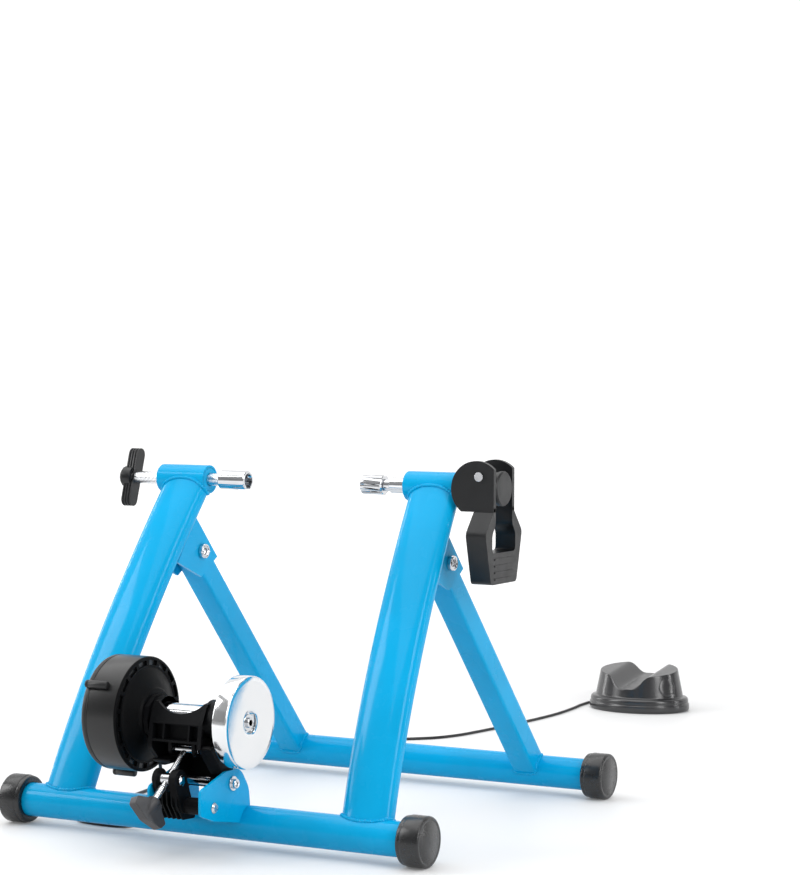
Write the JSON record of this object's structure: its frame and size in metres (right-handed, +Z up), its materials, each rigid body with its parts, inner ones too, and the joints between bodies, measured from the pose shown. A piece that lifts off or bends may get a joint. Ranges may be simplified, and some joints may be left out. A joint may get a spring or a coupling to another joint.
{
  "type": "wheel-on bicycle trainer",
  "caption": "Folding stand that clamps a bicycle's rear axle and presses a braked roller on its tyre, with a front wheel block and a handlebar remote.",
  "frame": {"origin": "middle of the floor area that the rigid pieces cover, at floor level", "axes": "+X to the rider's right, +Y forwards from the trainer to the front wheel block, +Z up"},
  "size_m": [0.5745, 1.4904, 0.4217],
  "materials": {
    "paint": "gloss",
    "black": "satin",
    "grey": "satin",
    "rubber": "matte",
    "chrome": "polished",
    "steel": "satin",
    "aluminium": "satin",
    "magnet": "matte",
    "jacket": "satin"
  },
  "bodies": {
    "frame": {"rear_base_tube": "paint", "rear_cap_left": "rubber", "rear_cap_right": "rubber", "main_leg_left": "paint", "main_leg_right": "paint", "axle_barrel_left": "paint", "axle_barrel_right": "paint", "hinge_bracket_left": "paint", "hinge_bracket_right": "paint", "hinge_bolt_left": "chrome", "hinge_bolt_right": "chrome", "hinge_nut_left": "chrome", "hinge_nut_right": "chrome", "screw_bush": "steel", "guide_bush": "steel", "return_spring": "steel", "clamp_head": "black", "pivot_plate_left": "paint", "pivot_plate_right": "paint", "pivot_bolt": "chrome", "pivot_nut": "steel", "tension_base": "black", "base_rivet": "steel", "wheel_block": "grey", "remote_body": "black", "cable_run": "jacket", "cable_coil": "jacket", "cable_tail": "jacket"},
    "front_frame": {"front_base_tube": "paint", "front_cap_left": "rubber", "front_cap_right": "rubber", "front_leg_left": "paint", "front_leg_right": "paint"},
    "left_cup": {"left_cup": "chrome"},
    "adjuster": {"adjust_screw": "chrome", "adjust_knob": "black"},
    "lever": {"clamp_lever": "black", "lever_pin": "chrome", "lever_cam": "steel"},
    "spindle": {"clamp_spindle": "chrome", "right_cup": "chrome"},
    "unit": {"unit_yoke": "black", "bearing_left": "steel", "bearing_right": "steel", "cross_pin": "chrome", "drum_housing": "black", "drum_cover": "black", "cable_gland": "black"},
    "rotor": {"roller": "chrome", "roller_shaft": "steel", "flywheel": "chrome", "flywheel_bolt": "chrome", "rotor_disc": "aluminium"},
    "magnets": {"magnet_plate": "magnet"},
    "trunnion": {"trunnion": "chrome"},
    "screw": {"tension_screw": "chrome"},
    "handle": {"tension_handle": "grey"},
    "remote_knob": {"remote_knob": "grey"},
    "remote_strap": {"remote_strap": "black"},
    "remote_lever": {"remote_lever": "black"}
  },
  "joints": [
    {"name": "front_frame_fold", "type": "hinge", "parent": "frame", "child": "front_frame", "pos_m": [0, -0.39525, 0.301], "axis": [-1, 0, 0], "range_deg": [0, 66]},
    {"name": "adjuster_turn", "type": "hinge", "parent": "left_cup", "child": "adjuster", "pos_m": [-0.19, -0.39325, 0.387], "axis": [-1, 0, 0], "range_deg": [0, 1800]},
    {"name": "left_cup_slide", "type": "slide", "parent": "frame", "child": "left_cup", "axis": [-1, 0, 0], "range_m": [0, 0.01001]},
    {"name": "lever_swing", "type": "hinge", "parent": "frame", "child": "lever", "pos_m": [0.234, -0.39325, 0.4009], "axis": [0, -1, 0], "range_deg": [0, 100]},
    {"name": "spindle_slide", "type": "slide", "parent": "frame", "child": "spindle", "axis": [1, 0, 0], "range_m": [0, 0.00701]},
    {"name": "unit_swing", "type": "hinge", "parent": "frame", "child": "unit", "pos_m": [0, -0.64025, 0.076], "axis": [1, 0, 0], "range_deg": [0, 9]},
    {"name": "roller_spin", "type": "hinge", "parent": "unit", "child": "rotor", "pos_m": [0, -0.64325, 0.1435], "axis": [1, 0, 0], "continuous": true},
    {"name": "magnet_turn", "type": "hinge", "parent": "unit", "child": "magnets", "pos_m": [-0.1, -0.64325, 0.1435], "axis": [1, 0, 0], "range_deg": [0, 30.01]},
    {"name": "trunnion_tilt", "type": "hinge", "parent": "frame", "child": "trunnion", "pos_m": [0, -0.69025, 0.084], "axis": [1, 0, 0], "range_deg": [0, 2.1]},
    {"name": "screw_slide", "type": "slide", "parent": "trunnion", "child": "screw", "axis": [0, -0.7831, -0.6219], "range_m": [0, 0.00584]},
    {"name": "handle_turn", "type": "hinge", "parent": "screw", "child": "handle", "pos_m": [0, -0.69025, 0.084], "axis": [0, -0.7831, -0.6219], "range_deg": [0, 1400]},
    {"name": "remote_knob_turn", "type": "hinge", "parent": "frame", "child": "remote_knob", "pos_m": [-0.06643, 0.67519, 0.021], "axis": [0.4787, -0.878, 0], "range_deg": [0, 120]},
    {"name": "remote_strap_swing", "type": "hinge", "parent": "frame", "child": "remote_strap", "pos_m": [-0.07396, 0.73601, 0.021], "axis": [0, 0, -1], "range_deg": [0, 75]},
    {"name": "remote_lever_swing", "type": "hinge", "parent": "remote_strap", "child": "remote_lever", "pos_m": [-0.11562, 0.71842, 0.021], "axis": [0, 0, 1], "range_deg": [0, 80]}
  ],
  "couplings": [
    {"joint": "left_cup_slide", "follows": "adjuster_turn", "m_per_rad": 0.00031831},
    {"joint": "spindle_slide", "follows": "lever_swing", "m_per_rad": 0.0040107},
    {"joint": "unit_swing", "follows": "handle_turn", "ratio": 0.0063902},
    {"joint": "trunnion_tilt", "follows": "handle_turn", "ratio": 0.0013594},
    {"joint": "screw_slide", "follows": "handle_turn", "m_per_rad": 0.00023873},
    {"joint": "magnet_turn", "follows": "remote_knob_turn", "ratio": 0.25}
  ]
}
